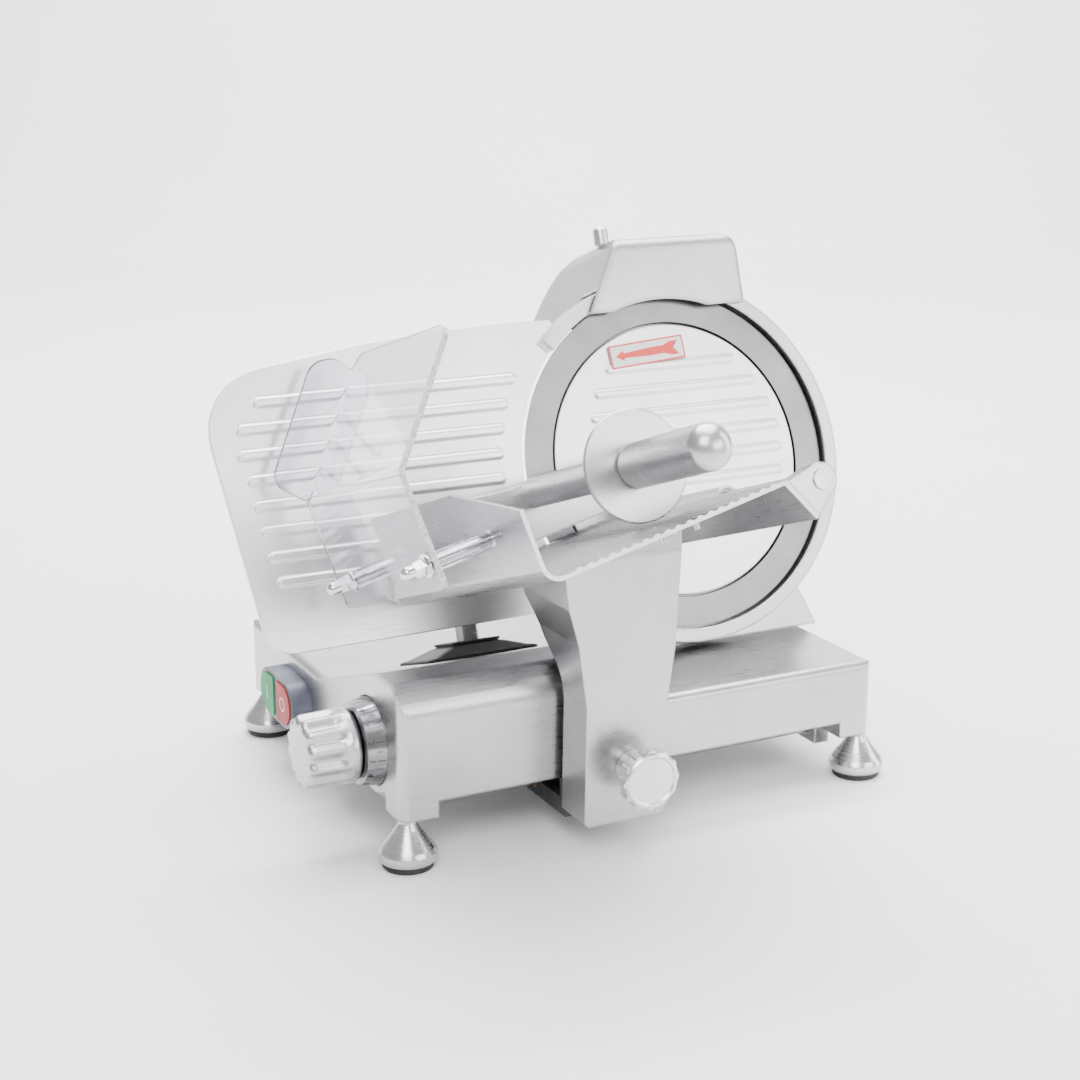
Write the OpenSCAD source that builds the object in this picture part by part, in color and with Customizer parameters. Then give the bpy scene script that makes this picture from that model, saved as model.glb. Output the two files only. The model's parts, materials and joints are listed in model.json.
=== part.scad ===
// Gravity-feed meat slicer with a 250 mm belt-driven blade.
// Millimetres. X is the carriage travel, Y points to the back and Z up. The origin is on
// the table, under the middle of the machine.
// The blade frame has its origin at the blade's centre: x along X, y up in the tilted
// blade plane and z out of the blade towards the user.

/* [Blade] */
// Radius of the cutting edge
blade_r = 125; // [120:1:127]
// Tilt of the blade plane from the vertical, degrees
tilt = 18.95; // [15:0.05:22]
// Height of the blade's centre above the table
blade_z = 222.8; // [220:0.1:226]
// Width of the ground steel ring outside the cover
ring_w = 23; // [20:0.5:26]

/* [Base] */
// Height of the deck
deck_z = 89; // [87:0.5:91]
// Height of the hump over the thickness dial
hump_z = 127.5; // [125:0.5:129]
// Wall thickness of the castings
wall = 4; // [3:0.5:5]
// Length of a foot, sole included
foot_h = 33; // [33:0.5:34]

/* [Carriage] */
// Slope of the tray floor across the machine, degrees
tray_slope = 13.6; // [13:0.1:14]
// Width of the tray floor
tray_w = 176; // [172:1:178]
// Length of the tray floor, away from the blade
tray_len = 238; // [230:1:238]
// Distance from the tray's end wall to the clear hand guard
guard_gap = 40; // [36:1:44]

/* [Gauge] */
// Thickest slice, the travel of the gauge plate
slice_max = 12; // [8:1:12]
// Turn of the dial from closed to fully open, degrees
dial_turn = 300; // [240:10:320]

/* [Hidden] */
$fn = 96;
eps = 0.01;

// Blade frame
blade_x = 108.5;
blade_y = 51.2;
cover_r = blade_r - ring_w;
guard_in_r = blade_r + 2;
guard_out_r = blade_r + 11.8;
guard_tip = 136;
guard_end = 220;
web_w = -13;
web_t = 3;
case_front = web_w;
case_back = -60;
hub_bore_r = 20;
shaft_r = 8.5;
rod_bore_r = 4.6;
tie_r = 4;
motor_x = 60;
motor_u = -28;
motor_r = 50;
motor_back = -168;
belt_front = -38;
belt_back = -54;
driven_r = 34;
drive_r = 12;
belt_t = 3;

// Base
base_x0 = -171;
base_x1 = 201.2;
base_y0 = -75.6;
base_y1 = 226;
base_bottom = 44.7;
leg_bottom = foot_h;
leg_w = 27;
corner_r = 8;
hump_x1 = -28;
hump_top_y = -38.3;
hump_r = 27.5;

// Feet
feet_at = [[-164, -68.5], [194.2, -68.5], [-164, 209.8], [194.2, 209.8]];

// Dial and gauge
dial_y = -24;
dial_z = 74;
knob_r = 25;
knob_end = -222.5;
scale_r = 30.4;
bezel_r = 31;
cam_x = -104;
cam_t = 8;
cam_r0 = 12;
follower_r = 4;
follower_gap = 0.8;
neck_x = -76;
bar_r = 6;
bar_drop = 26;

// Switch
switch_y = 125.5;
switch_z = 58.3;
switch_len = 70;
switch_h = 36;
switch_out = 15;
button_out = 3;

// Rail
rail_y = -30;
rail_z = 31;
rail_r = 8;
steady_y = 20;

// Carriage
arm_front = -115.2;
arm_back = -81.6;
arm_bottom = 22.8;
arm_x0 = -56.5;
arm_x1 = 4.5;
knob_x = -22;
knob_z = 61.1;
knob_face = -145.2;

// Tray, in the blade frame; s runs along the floor and t up from it
tray_x = -238.9;
tray_u = -82.2;
tray_front = 246;
tray_back = tray_front - tray_len;
floor_t = 2.5;
ridge_h = 1.2;
ridge_pitch = 8;
flange_len = 30;
flange_drop = 50 + tray_slope;
wall_t = 3;
rod_x = -41;
rod_u = -40.3;
rod_r = 5.5;
rod_back = 9;
ear_t = 15;
lobe_r = 11;
sheet_t = 4;
stud_t = 35;
stud_w = [61, 194];
stud_r = 3;
tray_screw_w = [176, 206];
tray_screw_s = [101.3, 129.3];
lean = 63;

// Pusher, in the tray's s and t
plate_w = 21;
plate_t = 6;
tube_s = 118.1;
tube_t = 41.8;
tube_r = 10.8;
disc_w = 178;
disc_r = 37;
disc_t = 3;
handle_r = 15;
handle_end = 284;
sleeve_r = 9.5;
sleeve_end = 131;
bush_r = 7.5;

// Sharpener hood, in the blade frame
hood_front = 9;
hood_back = -104;
hood_t = 2.5;
post_x = [-14, 26];
post_w = -30;
post_r = 5;
post_top = 161;
hood_top = 166.5;
stone_x = [6, 50];
stone_u = 148;
stone_w = -30;

module at_blade() {
    translate([blade_x, blade_y, blade_z]) rotate([90 - tilt, 0, 0]) children();
}

// The same axes as the blade frame, at a point given on the machine
module along_feed(p) {
    translate(p) rotate([90 - tilt, 0, 0]) children();
}

module at_tray() {
    at_blade() translate([tray_x, tray_u, 0]) rotate([0, 0, tray_slope]) children();
}

// Points on an arc about c
function arc(c, r, a0, a1, n = 8) = [for (i = [0:n])
    c + r * [cos(a0 + (a1 - a0) * i / n), sin(a0 + (a1 - a0) * i / n)]];

// Rounded rectangle from one corner to the other
module rounded(x0, y0, x1, y1, r) {
    polygon([
        each arc([x0 + r, y0 + r], r, 180, 270),
        each arc([x1 - r, y0 + r], r, 270, 360),
        each arc([x1 - r, y1 - r], r, 0, 90),
        each arc([x0 + r, y1 - r], r, 90, 180)
    ]);
}

// Stadium of the given length and height, centred
module stadium(l, h) {
    c = (l - h) / 2;
    polygon([each arc([c, 0], h / 2, -90, 90, 24), each arc([-c, 0], h / 2, 90, 270, 24)]);
}

// Turns a profile drawn in Y and Z into a prism along X
module along_x(x0, x1) {
    translate([x0, 0, 0]) rotate([90, 0, 90]) linear_extrude(x1 - x0) children();
}

// Turns a profile drawn in X and Z into a prism along Y
module along_y(y0, y1) {
    translate([0, y1, 0]) rotate([90, 0, 0]) linear_extrude(y1 - y0) children();
}

module rod_x_dir(p, r, l) {
    translate(p) rotate([0, 90, 0]) cylinder(r = r, h = l);
}

// ---------------------------------------------------------------- base

// Side profile of the hump, shrunk by d
module hump_profile(d) {
    centre = [base_y0 + hump_r, hump_z - hump_r];
    r = hump_r - d;
    run = (hump_z - deck_z) / tan(tilt) + 8;
    start = centre + r * [sin(tilt), cos(tilt)];
    polygon([
        [base_y0 + d, base_bottom - 1],
        each arc(centre, r, 180, 90 - tilt, 14),
        start + run * [1, -tan(tilt)],
        [start[0] + run, base_bottom - 1]
    ]);
}

module base_form(d) {
    intersection() {
        translate([0, 0, base_bottom - 20])
            linear_extrude(100)
                rounded(base_x0 + d, base_y0 + d, base_x1 - d, base_y1 - d, corner_r - d / 2);
        union() {
            intersection() {
                along_y(base_y0, base_y1)
                    rounded(base_x0 + d, -20, base_x1 - d, deck_z - d, 6 - d / 2);
                along_x(base_x0, base_x1)
                    rounded(base_y0 + d, -20, base_y1 - d, deck_z - d, 6 - d / 2);
            }
            intersection() {
                along_x(base_x0, base_x1) hump_profile(d);
                along_y(base_y0, base_y1)
                    rounded(base_x0 + d, -20, hump_x1 - d, hump_z + 4 - d, 12 - d / 2);
            }
        }
    }
}

module corner_legs() {
    for (p = [[base_x0, base_y0], [base_x1 - leg_w, base_y0],
              [base_x0, base_y1 - leg_w], [base_x1 - leg_w, base_y1 - leg_w]]) {
        translate([p[0], p[1], leg_bottom]) cube([leg_w, leg_w, 30]);
    }
}

module base_housing() {
    color("gainsboro") difference() {
        union() {
            difference() {
                base_form(0);
                translate([base_x0 - 1, base_y0 - 1, 0]) cube([400, 320, base_bottom]);
                difference() {
                    base_form(wall);
                    translate([0, 0, -12]) corner_legs();
                    corner_legs();
                }
            }
            intersection() {
                corner_legs();
                translate([0, 0, 20])
                    linear_extrude(60)
                        rounded(base_x0, base_y0, base_x1, base_y1, corner_r);
            }
            // Boss round the dial
            intersection() {
                base_form(0);
                rod_x_dir([base_x0 + 1, dial_y, dial_z], 36, 12);
            }
        }
        // Stud holes in the legs
        for (p = feet_at) {
            translate([p[0], p[1], leg_bottom - 1]) cylinder(r = 4.1, h = 24);
        }
        // Window of the dial
        rod_x_dir([base_x0 - 1, dial_y, dial_z], bezel_r, 10);
        rod_x_dir([base_x0 - 1, dial_y, dial_z], 9, 20);
        // Slot for the neck of the gauge bracket
        along_feed([neck_x, boot_y, slope_z(boot_y)])
            translate([-7.5, -12, -7.5 - slice_max]) cube([15, 24, slice_max + 15]);
        // Opening of the switch and of the cable gland
        translate([base_x0 - 1, switch_y - 25, switch_z - 12]) cube([wall + 2, 50, 24]);
        translate([-100, base_y1 - wall - 1, 66])
            rotate([-90, 0, 0]) cylinder(r = 8.05, h = wall + 2);
    }
}

module bottom_plate() {
    color("darkgray") translate([0, 0, base_bottom + 0.3]) linear_extrude(2) difference() {
        translate([base_x0 + wall + 0.4, base_y0 + wall + 0.4])
            square([base_x1 - base_x0 - 2 * wall - 0.8, base_y1 - base_y0 - 2 * wall - 0.8]);
        for (x = [base_x0, base_x1 - leg_w]) {
            for (y = [base_y0, base_y1 - leg_w]) {
                translate([x - 0.4, y - 0.4]) square(leg_w + 0.8);
            }
        }
        // Clear of the boss round the dial
        translate([base_x0, dial_y - 26]) square([18, 52]);
    }
}

// Turned cone foot with a round shoulder
module foot_profile() {
    polygon([
        [0, 3.5], [17, 3.5], [18.9, 5.5], [19.9, 8.5], [19.6, 11.5], [18, 14.5],
        [13.2, 20.5], [8.6, 27], [6.4, 31], [6, foot_h], [0, foot_h]
    ]);
}

module feet() {
    color("silver") for (p = feet_at) {
        translate(p) difference() {
            rotate_extrude() foot_profile();
            translate([0, 0, foot_h - 16]) cylinder(r = 4, h = 17);
        }
    }
}

module foot_soles() {
    color("#202020") for (p = feet_at) {
        translate(p) rotate_extrude() polygon([[0, 0], [16.2, 0], [17.2, 1], [17.2, 3.5], [0, 3.5]]);
    }
}

module foot_studs() {
    color("gray") for (p = feet_at) {
        translate([p[0], p[1], foot_h - 15]) cylinder(r = 4, h = 37);
    }
}

// ------------------------------------------------- blade support and drive

// Round both pulleys, from depth w0 to w1, with walls moved out by grow
module case_solid(w0, w1, grow) {
    a = atan2(motor_u, motor_x);
    translate([0, 0, w0]) linear_extrude(w1 - w0) polygon([
        each arc([0, 0], driven_r + 12 + grow, a + 90, a + 270, 24),
        each arc([motor_x, motor_u], motor_r + 2 + grow, a - 90, a + 90, 24)
    ]);
}

module column_outline() {
    polygon([
        [-30, -20], [108, -20], [92, -104], [97, -116], [104, -135], [116, -175],
        [-52, -175], [-40, -130]
    ]);
}

module blade_support() {
    color("gainsboro") difference() {
        union() {
            at_blade() {
                translate([0, 0, -12]) linear_extrude(16.5) difference() {
                    circle(guard_out_r);
                    circle(guard_in_r);
                    polygon([[0, 0], 220 * [cos(guard_tip), sin(guard_tip)], [-220, 0],
                        220 * [cos(guard_end), sin(guard_end)]]);
                }
                intersection() {
                    translate([0, 0, web_w]) cylinder(r = guard_in_r + 4, h = web_t);
                    union() {
                        translate([-34, -150, web_w - 1]) cube([200, 300, web_t + 2]);
                        translate([0, 0, web_w - 1]) cylinder(r = 44, h = web_t + 2);
                    }
                }
                case_solid(case_back, case_front + 1, 0);
            }
            intersection() {
                at_blade() translate([0, 0, case_back + 2])
                    linear_extrude(case_front - case_back) column_outline();
                translate([-100, -100, deck_z]) cube([400, 320, 200]);
            }
        }
        at_blade() {
            // Belt room, open at the back
            case_solid(case_back - 1, case_front - 21, -wall);
            // Bearing seat and shaft hole
            translate([0, 0, case_front - 22]) cylinder(r = hub_bore_r, h = 22 - 3);
            translate([0, 0, case_front - 30]) cylinder(r = shaft_r + 1.5, h = 60);
            for (p = case_screw_at) {
                translate([p[0], p[1], case_back - 1]) cylinder(r = 1.82, h = 12);
            }
        }
        // Hollow of the column
        intersection() {
            at_blade() translate([0, 0, case_back + 2 + wall]) linear_extrude(36)
                polygon([[-12, -86], [82, -86], [87, -104], [99, -140], [108, -175],
                    [-44, -175], [-33, -130], [-24, -100]]);
            translate([-100, -100, deck_z - 1]) cube([400, 320, 200]);
        }
    }
}

module shaft_bearings() {
    color("silver") at_blade() for (w = [case_front - 12, case_front - 20.9]) {
        translate([0, 0, w]) linear_extrude(8.5) difference() {
            circle(hub_bore_r);
            circle(shaft_r + 0.02);
        }
    }
}

module case_cover() {
    color("gainsboro") at_blade() difference() {
        case_solid(case_back - 2.5, case_back, 0);
        translate([motor_x, motor_u, case_back - 5]) cylinder(r = motor_r - 8, h = 10);
        translate([0, 0, case_back - 5]) cylinder(r = rod_bore_r, h = 10);
        for (p = case_screw_at) {
            translate([p[0], p[1], case_back - 5]) cylinder(r = 1.85, h = 10);
        }
    }
}

case_screw_at = [for (a = [100, 180, 245]) (driven_r + 10) * [cos(a), sin(a)]];

module case_screws() {
    color("gray") at_blade() for (p = case_screw_at) {
        translate([p[0], p[1], case_back - 4.5]) {
            cylinder(r = 3.6, h = 2);
            cylinder(r = 1.8, h = 12);
        }
    }
}

module motor_shell() {
    color("lightgray") at_blade() translate([motor_x, motor_u, 0]) difference() {
        union() {
            translate([0, 0, motor_back + 3]) cylinder(r = motor_r, h = case_back - 2.5 - motor_back - 3);
            for (i = [0:11]) {
                rotate([0, 0, 30 * i]) translate([motor_r - 1, -1.2, motor_back + 20])
                    cube([3, 2.4, 70]);
            }
        }
        translate([0, 0, motor_back]) cylinder(r = motor_r - 3, h = case_back - motor_back - 12);
        translate([0, 0, case_back - 20]) cylinder(r = 12, h = 30);
    }
}

module motor_end_cap() {
    color("gainsboro") at_blade() translate([motor_x, motor_u, 0]) difference() {
        translate([0, 0, motor_back - 6]) rotate_extrude()
            polygon([[0, 0], [38, 0], [46, 2.5], [motor_r, 7], [motor_r, 8.8], [motor_r - 3.2, 9],
                [motor_r - 3.2, 14], [0, 14]]);
        for (r = [14, 22, 30]) {
            for (a = [0:45:315]) {
                rotate([0, 0, a + r]) translate([r, 0, motor_back - 7])
                    cylinder(r = 2.2, h = 16);
            }
        }
    }
}

module drive_belt() {
    gap = 0.3;
    color("#202020") at_blade() rotate([0, 0, atan2(motor_u, motor_x)]) difference() {
        belt_solid(belt_back + 2, belt_front - 2, gap + belt_t);
        belt_solid(belt_back + 1, belt_front - 1, gap);
    }
}

// Space inside an open belt round both pulleys, grown by d
module belt_solid(w0, w1, d) {
    l = norm([motor_x, motor_u]);
    b = asin((driven_r - drive_r) / l);
    r1 = driven_r + d;
    r2 = drive_r + d;
    translate([0, 0, w0]) {
        cylinder(r = r1, h = w1 - w0);
        translate([l, 0, 0]) cylinder(r = r2, h = w1 - w0);
        linear_extrude(w1 - w0) polygon([
            [r1 * sin(b), r1 * cos(b)], [l + r2 * sin(b), r2 * cos(b)],
            [l + r2 * sin(b), -r2 * cos(b)], [r1 * sin(b), -r1 * cos(b)]
        ]);
    }
}

// Grooved pulley, flanged, on the axis of z
module pulley(r, z0, z1, bore) {
    rotate_extrude() polygon([
        [bore, z0], [r + 2, z0], [r + 2, z0 + 1.2], [r, z0 + 1.6], [r, z1 - 1.6],
        [r + 2, z1 - 1.2], [r + 2, z1], [bore, z1]
    ]);
}

module blade_pulley() {
    color("gray") at_blade() pulley(driven_r, belt_back, belt_front, shaft_r);
}

module motor_pulley() {
    color("gray") at_blade() translate([motor_x, motor_u, 0]) {
        pulley(drive_r, belt_back, belt_front, 5);
        translate([0, 0, motor_back + 20]) cylinder(r = 5, h = belt_front - motor_back - 20);
        translate([0, 0, motor_back + 30]) cylinder(r = 34, h = 60);
    }
}

module blade_shaft() {
    color("silver") at_blade() difference() {
        union() {
            translate([0, 0, belt_back - 2]) cylinder(r = shaft_r, h = -8.5 - belt_back + 2);
            translate([0, 0, -8.5]) cylinder(r = 24, h = 1.5);
            translate([0, 0, -7]) cylinder(r = 13.9, h = 2.2);
        }
        translate([0, 0, -80]) cylinder(r = rod_bore_r, h = 90);
        for (a = [0:120:240]) {
            rotate([0, 0, a]) translate([19, 0, -12]) cylinder(r = 2, h = 6);
        }
    }
}

module blade() {
    color("lightgray") at_blade() difference() {
        rotate_extrude() polygon([
            [14, -7], [cover_r - 3, -7], [blade_r - 14, -5.2], [blade_r, -0.9], [blade_r, -0.5],
            [blade_r - 6, -0.4], [cover_r + 1, -0.2], [cover_r + 0.6, -4.6], [14, -4.6]
        ]);
        for (a = [0:120:240]) {
            rotate([0, 0, a]) translate([19, 0, -8]) cylinder(r = 2, h = 6);
        }
    }
}

// Raised rib with round ends on a face at height z
module rib(x0, x1, u, w, z, h) {
    translate([x0 + w / 2, u - w / 2, z]) cube([x1 - x0 - w, w, h]);
    for (x = [x0 + w / 2, x1 - w / 2]) {
        translate([x, u, z]) cylinder(r = w / 2, h = h);
    }
}

cover_ribs = [[-50, 62, 71], [-62, 78, 53.5], [-68, 87, 36], [-70, 92, 18.5], [-60, 92, 1],
    [-55, 90, -16.5], [-50, 84, -34], [-44, 74, -51.5]];

module blade_cover() {
    color("white") at_blade() {
        difference() {
            translate([0, 0, -3.2]) cylinder(r = cover_r - 0.4, h = 3);
            translate([0, 0, -3.4]) cylinder(r = 30, h = 1.2);
        }
        for (r = cover_ribs) {
            rib(r[0], r[1], r[2], 7, -0.3, 1.6);
        }
    }
}

// The tie rod runs through the hollow blade shaft and holds the cover
module cover_rod() {
    color("silver") at_blade() translate([0, 0, case_back - 8])
        cylinder(r = tie_r, h = -3.2 - case_back + 8);
}

module cover_knob() {
    color("#202020") at_blade() translate([0, 0, case_back - 17]) difference() {
        union() {
            cylinder(r = 13, h = 12);
            for (a = [0:60:300]) {
                rotate([0, 0, a]) translate([12, 0, 0]) cylinder(r = 4, h = 12);
            }
            cylinder(r = 8, h = 14.2);
        }
        translate([0, 0, 9]) cylinder(r = tie_r, h = 10);
    }
}

module slice_deflector() {
    color("silver") at_blade() translate([0, 0, -38]) linear_extrude(25) polygon([
        [-33, 88], [-36, 88], [-52, 52], [-60, 20], [-62, -20], [-57, -50], [-54, -49],
        [-59, -20], [-57, 20], [-49, 51]
    ]);
}

// ---------------------------------------------------------------- sharpener

module sharpener_posts() {
    foot_u = guard_out_r - 20;
    color("silver") at_blade() for (x = post_x) {
        translate([x, foot_u, post_w]) rotate([-90, 0, 0])
            cylinder(r = post_r, h = post_top - foot_u);
        translate([x - 8, foot_u, post_w - 8]) cube([16, 14, web_w - post_w + 8]);
    }
}

// Outline of the hood seen from the front, shrunk by d
module hood_front_outline(d) {
    r = 14;
    polygon([
        [-59 + d, 112], [-33 + d, 160 - d], [-28 + d, hood_top - d],
        each arc([72 - r, hood_top - r], r - d, 90, 0),
        [72 - d, 112]
    ]);
}

// Side profile of the hood, as height and depth, shrunk by d
module hood_side_outline(d) {
    r = 8;
    back_r = 44;
    back_w = hood_back + back_r;
    polygon([
        [100, hood_front - d],
        each arc([hood_top - r, hood_front - r], r - d, 90, 0),
        each arc([hood_top - back_r, back_w], back_r - d, 0, -90, 14),
        [118, hood_back + d], [112, -60], [104, -30], [100, -14]
    ]);
}

module hood_solid(d) {
    intersection() {
        translate([0, 0, hood_back - 5]) linear_extrude(hood_front - hood_back + 10)
            hood_front_outline(d);
        translate([100, 0, 0]) rotate([0, -90, 0]) linear_extrude(200)
            rotate(90) mirror([0, 1]) hood_side_outline(d);
    }
}

module sharpener_hood() {
    color("gainsboro") at_blade() difference() {
        hood_solid(0);
        difference() {
            translate([0, -0.01, 0]) hood_solid(hood_t);
            // Bosses that slide on the posts
            for (x = post_x) {
                translate([x, guard_out_r - 5.3, post_w]) rotate([-90, 0, 0])
                    cylinder(r = 9, h = 60);
            }
        }
        // Room for the ring, behind the front wall
        translate([0, 0, -20]) cylinder(r = guard_out_r + 1.2, h = 20 + 6);
        cylinder(r = blade_r - 6, h = 20);
        for (x = post_x) {
            translate([x, 90, post_w]) rotate([-90, 0, 0])
                cylinder(r = post_r + 0.04, h = post_top + 1.5 - 90);
        }
        for (x = stone_x) {
            translate([x, stone_u, hood_back - 10]) cylinder(r = 4.05, h = 50);
        }
        translate([-26, hood_top - 10, -20]) rotate([-90, -12, 0]) cylinder(r = 3.6, h = 12);
    }
}

module lift_pin() {
    color("silver") at_blade() translate([-26, hood_top - 10, -20]) rotate([-90, -12, 0]) {
        cylinder(r = 3.6, h = 11);
        translate([0, 0, 11]) cylinder(r = 5.6, h = 11);
        translate([0, 0, 22]) cylinder(r1 = 5.6, r2 = 4.4, h = 1.6);
    }
}

// Grinding disc on its spindle, with the press cap behind the hood
module stone(x) {
    at_blade() translate([x, stone_u, 0]) {
        translate([0, 0, hood_back - 12]) cylinder(r = 4, h = stone_w - hood_back + 12);
        translate([0, 0, hood_back - 17]) cylinder(r = 7, h = 7);
        translate([0, 0, stone_w]) cylinder(r = 9, h = 7);
    }
}

module grind_stone() {
    color("dimgray") stone(stone_x[0]);
}

module hone_stone() {
    color("rosybrown") stone(stone_x[1]);
}

// ---------------------------------------------------------------- switch

module switch_housing() {
    color("#4a5068") difference() {
        union() {
            along_x(base_x0 - switch_out, base_x0)
                translate([switch_y, switch_z]) stadium(switch_len, switch_h);
            translate([base_x0 - 0.5, switch_y - 24.6, switch_z - 10.8]) cube([22, 49.2, 22.4]);
        }
        for (s = [-1, 1]) {
            button_well(s, 0.3);
        }
    }
}

// One half of the button face, on the side s, grown by d
module button_outline(s, d) {
    intersection() {
        translate([switch_y, switch_z]) stadium(switch_len - 7 + 2 * d, switch_h - 7 + 2 * d);
        translate([switch_y + (s > 0 ? 3.5 - d : -40), switch_z - 30])
            square([36.5 + d, 60]);
    }
}

module button_well(s, d) {
    along_x(base_x0 - switch_out - 1, base_x0 - switch_out + 9) button_outline(s, d);
}

module button_body(s) {
    along_x(base_x0 - switch_out - 1.4, base_x0 - switch_out + 5.6) button_outline(s, 0);
}

module start_button() {
    color("mediumseagreen") button_body(1);
}

module stop_button() {
    color("indianred") button_body(-1);
}

module control_board() {
    color("darkgreen") translate([-120, 110, 58]) {
        cube([70, 50, 1.6]);
        translate([8, 8, 1.6]) cube([18, 14, 14]);
        translate([34, 10, 1.6]) cube([14, 28, 10]);
        translate([54, 8, 1.6]) cube([10, 34, 8]);
    }
    color("darkgreen") for (x = [-115, -55]) {
        for (y = [114, 156]) {
            translate([x, y, 47]) cylinder(r = 2.5, h = 11);
        }
    }
}

module capacitor() {
    color("#303030") {
        rod_x_dir([-20, 160, 66], 17, 70);
        translate([-10, 152, 47]) cube([50, 16, 8]);
    }
}

module cable_gland() {
    color("#202020") translate([-100, base_y1 - wall - 7, 66]) rotate([-90, 0, 0]) difference() {
        union() {
            cylinder(r = 8, h = 16);
            translate([0, 0, 0.5]) cylinder(r = 12, h = 6.5, $fn = 6);
            translate([0, 0, 7 + wall]) cylinder(r = 11, h = 3);
        }
        translate([0, 0, -1]) cylinder(r = 4, h = 20);
    }
}

// ---------------------------------------------------------------- dial and gauge

module dial_bush() {
    color("peru") difference() {
        rod_x_dir([base_x0 + 9.2, dial_y, dial_z], 9, 20);
        rod_x_dir([base_x0 + 8, dial_y, dial_z], 6.04, 24);
    }
}

module dial_knob() {
    color("silver") translate([knob_end, dial_y, dial_z]) rotate([0, 90, 0]) difference() {
        rotate_extrude() polygon([
            [0, 0], [knob_r - 3, 0], [knob_r - 1, 1.2], [knob_r, 3.5], [knob_r + 1, 22],
            [knob_r + 0.6, 33], [knob_r - 2, 37], [18, 38], [0, 38]
        ]);
        for (i = [0:11]) {
            rotate([0, 0, 30 * i]) translate([knob_r + 3.2, 0, -3]) rotate([0, 3.4, 0])
                cylinder(r = 5.2, h = 34);
        }
        translate([0, 0, 14]) cylinder(r = 6, h = 30);
    }
}

module dial_scale() {
    color("#404040") translate([base_x0 - 13.5, dial_y, dial_z]) rotate([0, 90, 0]) difference() {
        rotate_extrude() polygon([
            [6, 0], [24, 0], [scale_r - 2.6, 1], [scale_r, 14], [scale_r, 21], [6, 21]
        ]);
        translate([0, 0, -1]) cylinder(r = 6, h = 30);
    }
}

// Radius of the cam: a steady rise over the dial's turn, a quick fall and a short dwell
cam_dwell = 335;
function cam_r(a) = cam_r0 + slice_max
    * (a > dial_turn ? max(0, cam_dwell - a) / (cam_dwell - dial_turn) : a / dial_turn);

// The cam's small radius faces the follower when the dial is closed
module dial_cam() {
    color("silver") {
        rod_x_dir([base_x0 - 30, dial_y, dial_z], 6, cam_x + cam_t + 12 - base_x0 + 30);
        translate([cam_x, dial_y, dial_z]) rotate([90, 0, 90]) linear_extrude(cam_t)
            polygon([for (a = [0:5:355]) cam_r(a) * [cos(-tilt - a), sin(-tilt - a)]]);
    }
}

// Height of the hump's slope at y
function slope_z(y) = hump_z - hump_r + hump_r * cos(tilt)
    - (y - (base_y0 + hump_r + hump_r * sin(tilt))) * tan(tilt);

bar_y = 14;
boot_y = bar_y + bar_drop * sin(tilt);
bar_z = slope_z(bar_y) - bar_drop / cos(tilt);
bar_len = 96;

module guide_bar() {
    color("silver") along_feed([neck_x, bar_y, bar_z])
        translate([0, 0, -bar_len / 2]) cylinder(r = bar_r, h = bar_len);
}

module guide_bar_blocks() {
    color("dimgray") along_feed([neck_x, bar_y, bar_z]) for (w = [-bar_len / 2, bar_len / 2 - 10]) {
        translate([0, 0, w]) difference() {
            translate([-10, -9, 0]) cube([20, bar_drop + 9 - wall, 10]);
            translate([0, 0, -1]) cylinder(r = bar_r + 0.02, h = 12);
        }
    }
}

// Distance along the feed from the dial's axis to the follower's axis
follow_d = cam_r0 + follower_gap + follower_r;

module gauge_bracket() {
    color("dimgray") difference() {
        union() {
            along_feed([neck_x, bar_y, bar_z]) {
                translate([-11, -11, -14]) cube([22, 22, 34]);
                translate([-6, 0, -6]) cube([12, bar_drop + 29, 12]);
            }
            // Follower arm to the cam
            translate([cam_x - 1, dial_y, dial_z]) rotate([90 - tilt, 0, 0])
                translate([0, 0, -follow_d]) rotate([0, 90, 0]) cylinder(r = follower_r, h = 24);
            translate([cam_x + cam_t + 2, dial_y, dial_z]) rotate([90 - tilt, 0, 0])
                translate([0, -follower_r, -follow_d - follower_r]) cube([10, 34, 8]);
            // Pad behind the plate
            at_blade() translate([-210, -96, -18]) cube([50, 34, 14]);
        }
        along_feed([neck_x, bar_y, bar_z]) translate([0, 0, -20]) cylinder(r = bar_r + 0.04, h = 60);
    }
}

module gauge_outline() {
    r = 34;
    polygon([
        [-354, 52], [-335.6, -78], [-324, -95], [-312, -100.5], [-112, -98], [-95, -88],
        [-80, 0], [-88, 111.6], [-142.9, 112.1], [-235.8, 105.4], [-280.7, 99.2],
        [-312, 92], [-332, 83], [-346, 70]
    ]);
}

gauge_rib_u = [71.1, 53.6, 36.2, 18, 0.6, -16.2, -33.8, -51.6];
gauge_rib_x = [-320.6, -334.8, -336.3, -331.7, -330, -327, -324.7, -321.1];

module gauge_plate() {
    color("whitesmoke") at_blade() {
        translate([0, 0, -4]) linear_extrude(3.6) difference() {
            gauge_outline();
            circle(guard_in_r + 0.6);
            difference() {
                circle(guard_out_r + 1.5);
                polygon([[0, 0], 220 * [cos(guard_tip + 1), sin(guard_tip + 1)], [-220, 0],
                    220 * [cos(guard_end - 1), sin(guard_end - 1)]]);
            }
        }
        for (i = [0:7]) {
            u = gauge_rib_u[i];
            right = -sqrt(pow(guard_out_r + 4, 2) - u * u);
            rib(gauge_rib_x[i], min(right, -117), u, 8, -0.5, 1.7);
        }
    }
}

// Flat rubber bellows round the neck
module gauge_boot() {
    color("#202020") along_feed([neck_x, boot_y, slope_z(boot_y)]) rotate([-90, 0, 0])
        difference() {
            union() {
                linear_extrude(3.2) rounded(-42, -28, 42, 34, 5);
                translate([0, 0, 3]) linear_extrude(4.5) rounded(-30, -24, 30, 28, 5);
                translate([0, 0, 7]) linear_extrude(4.5) rounded(-19, -20, 19, 24, 5);
            }
            translate([-7.3, -7.3, -1]) cube([14.6, slice_max + 14.6, 20]);
        }
}

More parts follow.
